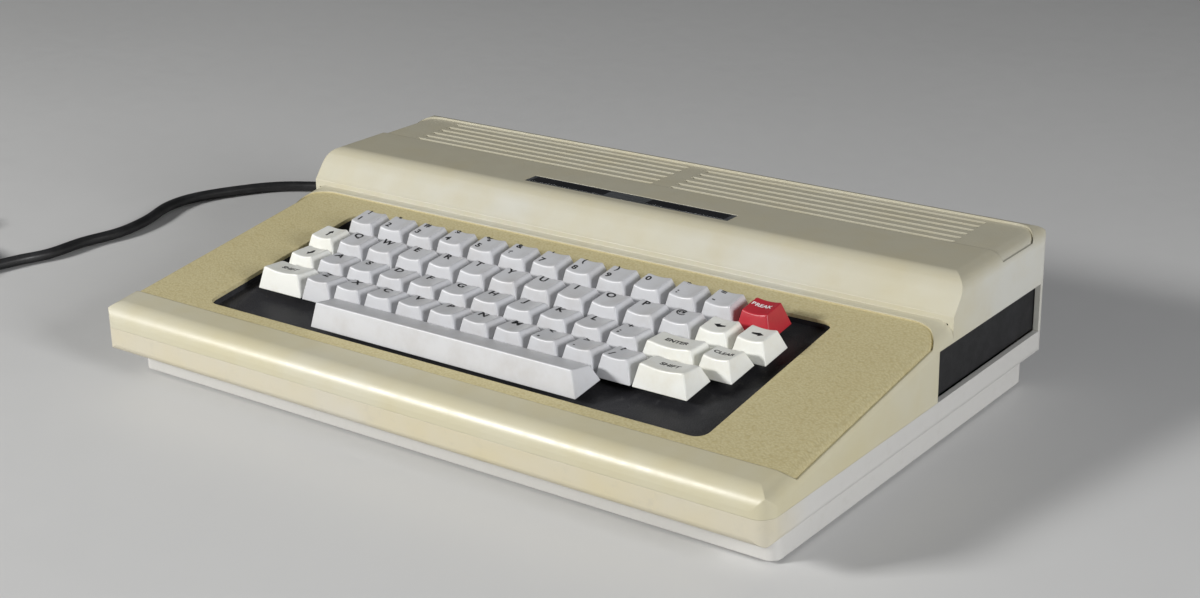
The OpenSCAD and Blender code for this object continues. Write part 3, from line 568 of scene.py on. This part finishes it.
def arrow_mesh(name, cap, angle):
    """A plain block arrow."""
    outline = [(-2.9, -0.55), (0.3, -0.55), (0.3, -1.6), (2.9, 0),
               (0.3, 1.6), (0.3, 0.55), (-2.9, 0.55)]
    made = bmesh.new()
    turn = Matrix.Rotation(math.radians(angle), 3, "Z")
    made.faces.new([made.verts.new(turn @ Vector((x, y, 0))) for x, y in outline])
    bmesh.ops.triangulate(made, faces=made.faces)
    flat = bpy.data.meshes.new(name)
    made.to_mesh(flat)
    made.free()
    return lay_on_cap(name, cap, flat, (0, 0.6))


def lay_on_cap(name, cap, flat, at):
    made = bmesh.new()
    made.from_mesh(flat)
    bpy.data.meshes.remove(flat)
    for _ in range(2):
        long_edges = [e for e in made.edges if e.calc_length() > 0.7]
        if long_edges:
            bmesh.ops.subdivide_edges(made, edges=long_edges, cuts=1)
    bmesh.ops.triangulate(made, faces=made.faces)
    for vertex in made.verts:
        x = vertex.co.x + at[0]
        y = vertex.co.y + at[1]
        vertex.co = (x, y, cap.top(x, y) + 0.03)
    made.transform(deck_matrix() @ Matrix.Translation((cap.mid_x, cap.mid_y, KEY_FOOT)))
    mesh = bpy.data.meshes.new(name)
    made.to_mesh(mesh)
    made.free()
    return mesh


LETTER = (-2.7, 3.9)
DIGIT = (-3.9, -2.1)
SHIFTED = (-3.3, 5.0)
MIDDLE = (0, 0.7)
NAMES = {";": "semicolon", "@": "at", ",": "comma", ".": "period", "/": "slash"}


def key_rows():
    """Every key as node, cap name, row, start, width, finish and its legends."""
    rows = []
    number_row = list(zip("1234567890:-", "!\"#$%&'() *="))
    for i, (low, high) in enumerate(number_row):
        legends = [(low, 4.7, DIGIT if low != "0" else (-3.9, 2.5)), (high, 4.6, SHIFTED)]
        if high == " ":
            legends = legends[:1]
        rows.append(("number_row_keys", f"cap_number_{i + 1}", 1, 0.5 + i, 1, "key_grey", legends))
    rows.append(("key_break", "cap_break", 1, 12.5, 1, "key_red", [("BREAK", 3.3, (-0.6, 1.4))]))
    for row, start, letters in ((2, 1, "QWERTYUIOP@"), (3, 1.25, "ASDFGHJKL;"),
                                (4, 1.75, "ZXCVBNM,./")):
        for i, letter in enumerate(letters):
            word = NAMES.get(letter, letter.lower())
            pairs = {";": "+", ",": "<", ".": ">", "/": "?"}
            if letter in pairs:
                legends = [(letter, 4.9, DIGIT), (pairs[letter], 4.7, SHIFTED)]
            else:
                legends = [(letter, 5.5 if letter != "@" else 4.7, LETTER)]
            rows.append((f"key_{word}", f"cap_{word}", row, start + i, 1, "key_grey", legends))
    for node, row, start, angle in (("up", 2, 0, 90), ("left", 2, 12, 180), ("right", 2, 13, 0),
                                    ("down", 3, 0.25, -90)):
        rows.append((f"key_{node}", f"cap_{node}", row, start, 1, "key_ivory",
                     [("arrow", angle, None)]))
    rows.append(("key_enter", "cap_enter", 3, 11.25, 1.5, "key_ivory", [("ENTER", 3.8, MIDDLE)]))
    rows.append(("key_clear", "cap_clear", 3, 12.75, 1, "key_ivory", [("CLEAR", 3.3, MIDDLE)]))
    for side, start in (("left", 0.25), ("right", 11.75)):
        rows.append((f"key_shift_{side}", f"cap_shift_{side}", 4, start, 1.5, "key_ivory",
                     [("SHIFT", 3.8, MIDDLE)]))
    rows.append(("key_space", "cap_space", 5, 3, 8, "key_grey", []))
    return rows


def add_keys():
    for node, name, row, start, width, finish, legends in key_rows():
        cap = Cap(row, start, width, dished=width < 4)
        body = node + "_body"
        piece = smooth(add_piece(name, cap.mesh(name), finish, body), 40)
        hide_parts(node)
        for i, (text, size, at) in enumerate(legends):
            legend = name.replace("cap", "legend") + (f"_{i + 1}" if len(legends) > 1 else "")
            if text == "arrow":
                mesh = arrow_mesh(legend, cap, size)
            else:
                mesh = legend_mesh(legend, cap, text, size, at)
            add_piece(legend, mesh, "ink_white" if node == "key_break" else "ink_black", body)


# ======================= mains cord =======================

CORD_R = 3.2
CORD_DRAWN_R = 3.05  # just inside the eight-sided solid
LIE_Z = CORD_R + 0.2
RELIEF = (-134, 141, 27)
COIL_X, COIL_Y, COIL_R = -410, -95, 37
LANE = 7.1
COIL_IN = 900
COIL_OUT_R = COIL_R + LANE * COIL_IN / 720
COIL_IN_R = COIL_R - LANE * COIL_IN / 720
LEAD = 10
TAIL = 26
PLUG_Z = 9
ROUTE = [
    RELIEF, (-134, 148, 27), (-134, 155, 27), (-138, 171, 20), (-151, 186, 10),
    (-176, 196, 4), (-208, 197, LIE_Z), (-256, 184, LIE_Z), (-300, 163, LIE_Z),
    (-334, 144, LIE_Z), (-352, 122, LIE_Z), (-364, 96, LIE_Z), (-364, 74, LIE_Z),
    (-354, 48, LIE_Z), (-350, 24, LIE_Z), (-354, 0, LIE_Z), (-354, -24, LIE_Z),
    (-360, -42, LIE_Z), (COIL_X + COIL_OUT_R, -62, LIE_Z), (COIL_X + COIL_OUT_R, -76, LIE_Z),
    (COIL_X + COIL_OUT_R, COIL_Y + LEAD, LIE_Z),
]


def smooth_line(points, steps):
    """A smooth line through points, as in the part's source."""
    line = []
    p = [Vector(q) for q in points]
    for i in range(len(p) - 1):
        a, b, c, d = p[max(i - 1, 0)], p[i], p[i + 1], p[min(i + 2, len(p) - 1)]
        for k in range(steps):
            t = k / steps
            line.append(0.5 * (2 * b + (c - a) * t + (2 * a - 5 * b + 4 * c - d) * t * t
                               + (3 * b - a - 3 * c + d) * t ** 3))
    line.append(p[-1])
    return line


def coil_line(steps=48):
    line = []
    total = 2 * COIL_IN + 180
    for i in range(int(total / 360 * steps) + 1):
        a = 360 * i / steps
        climb = min(max((a - COIL_IN) / 180, 0), 1)
        if a < COIL_IN:
            turn = COIL_IN - a
        elif a > COIL_IN + 180:
            turn = a - COIL_IN - 180
        else:
            turn = -180 * climb * (1 - climb)
        r = COIL_IN_R + LANE / 360 * turn
        w = math.radians(a)
        line.append(Vector((COIL_X + r * math.cos(w), COIL_Y - r * math.sin(w),
                            LIE_Z + LANE * climb)))
    x = COIL_X - COIL_OUT_R
    line += [Vector((x, COIL_Y + y, z)) for y, z in
             ((TAIL / 3, LIE_Z + LANE), (TAIL * 0.7, PLUG_Z), (TAIL, PLUG_Z))]
    return line


def add_cord():
    points = [q * MM for q in smooth_line(ROUTE, 8) + coil_line()]
    curve = bpy.data.curves.new("mains_cord", "CURVE")
    curve.dimensions = "3D"
    curve.bevel_depth = CORD_DRAWN_R * MM
    curve.bevel_resolution = 6
    curve.use_fill_caps = True
    spline = curve.splines.new("POLY")
    spline.points.add(len(points) - 1)
    for place, q in zip(spline.points, points):
        place.co = (*q, 1)
    curve.materials.append(looks["cord_black"])
    cord = bpy.data.objects.new("mains_cord", curve)
    bpy.context.scene.collection.objects.link(cord)
    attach(cord, "chassis")
    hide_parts("power_cord", "cord_coil")
    length = sum((b - a).length for a, b in zip(points, points[1:]))
    return length


# ======================= badge, screws and contacts =======================

def slab(name, x0, x1, y0, y1, z0, z1, r, soft, material, body="chassis"):
    """A thin plate with rounded corners and a softened upper edge."""
    made = bmesh.new()
    rings = []
    for inset, z in ((0, z0), (0, z1 - soft), (soft * 0.3, z1 - soft * 0.3), (soft, z1)):
        ring = ring_rect(x0 + inset, x1 - inset, y0 + inset, y1 - inset, max(r - inset, 0.05),
                         along_x=1, along_y=1)
        rings.append([(x * MM, y * MM, z * MM) for x, y in ring])
    skin(made, rings, True, True)
    mesh = bpy.data.meshes.new(name)
    made.to_mesh(mesh)
    made.free()
    return smooth(add_piece(name, mesh, material, body), 30)


def add_badge():
    """The name plate on the step, left bare: a silver strip with two black fields."""
    width, depth, mid_y, deep = BADGE
    x0, x1 = -width / 2 + 0.15, width / 2 - 0.15
    y0, y1 = mid_y - depth / 2 + 0.15, mid_y + depth / 2 - 0.15
    floor_z = CASE_H - deep
    slab("badge_plate", x0, x1, y0, y1, floor_z, CASE_H - 0.05, 0.4, 0.15, "badge_silver")
    for side, (a, b) in enumerate(((0.02, 0.395), (0.60, 0.975))):
        slab(f"badge_field_{side + 1}", x0 + a * width, x0 + b * width, y0 + 1.1, y1 - 1.1,
             CASE_H - 0.1, CASE_H - 0.01, 0.3, 0.03, "badge_black")


def add_screws():
    """Heads of the six case screws, deep in their holes in the underside."""
    spots = ((-168, -95), (168, -95), (-170, 28), (168, 0), (-170, 84), (72, 66))
    for i, (x, y) in enumerate(spots):
        made = bmesh.new()
        profile = ((0.0, 9.4), (1.9, 9.4), (2.8, 9.8), (3.3, 10.6), (3.4, 11.4), (0.0, 11.4))
        count = 24
        rows = [[made.verts.new((x * MM + r * MM * math.cos(2 * math.pi * k / count),
                                 y * MM + r * MM * math.sin(2 * math.pi * k / count), z * MM))
                 for k in range(count)] for r, z in profile[1:-1]]
        for low, high in zip(rows, rows[1:]):
            for k in range(count):
                made.faces.new((low[k], low[(k + 1) % count], high[(k + 1) % count], high[k]))
        made.faces.new(list(reversed(rows[0])))
        made.faces.new(rows[-1])
        for wide, long in ((0.35, 1.9), (1.9, 0.35)):
            box = bmesh.ops.create_cube(made, size=1)["verts"]
            bmesh.ops.scale(made, vec=(2 * wide * MM, 2 * long * MM, 0.3 * MM), verts=box)
            bmesh.ops.translate(made, vec=(x * MM, y * MM, 9.35 * MM), verts=box)
        mesh = bpy.data.meshes.new(f"case_screw_{i + 1}")
        made.to_mesh(mesh)
        made.free()
        smooth(add_piece(f"case_screw_{i + 1}", mesh, "tin_plate", "chassis"), 40)


# ======================= stage =======================

def add_floor():
    mesh = bpy.data.meshes.new("floor")
    mesh.from_pydata([(-6, -6, 0), (6, -6, 0), (6, 6, 0), (-6, 6, 0)], [], [(0, 1, 2, 3)])
    mesh.materials.append(looks["floor"])
    floor = bpy.data.objects.new("floor", mesh)
    bpy.context.scene.collection.objects.link(floor)


def add_light(name, place, aim, size, power, color=(1, 1, 1)):
    data = bpy.data.lights.new(name, "AREA")
    data.shape = "RECTANGLE"
    data.size, data.size_y = size
    data.energy = power
    data.color = color
    light = bpy.data.objects.new(name, data)
    light.location = place
    light.rotation_mode = "QUATERNION"
    light.rotation_quaternion = (Vector(aim) - Vector(place)).to_track_quat("-Z", "Y")
    bpy.context.scene.collection.objects.link(light)


def add_lights():
    add_light("key_light", (-1.2, -1.65, 0.92), (0, 0, 0.04), (0.55, 0.3), 45, (1, 0.995, 0.98))
    add_light("side_light", (1.9, -0.5, 0.75), (0, 0, 0.04), (0.6, 0.6), 27, (0.98, 0.985, 1))
    add_light("top_light", (-0.1, 0.6, 1.8), (0, 0, 0.04), (1.4, 1.2), 1, (1, 1, 1))
    world = bpy.data.worlds.new("studio")
    world.use_nodes = True
    background = world.node_tree.nodes["Background"]
    background.inputs["Color"].default_value = (0.93, 0.96, 1.0, 1)
    background.inputs["Strength"].default_value = 0.05
    bpy.context.scene.world = world
    bpy.context.scene.view_settings.view_transform = "Standard"


# ======================= making =======================

add_camera()
make_looks()
add_cord()
dress_cad_nodes()
add_keys()
add_badge()
add_screws()
add_floor()
add_lights()

bpy.context.view_layer.update()
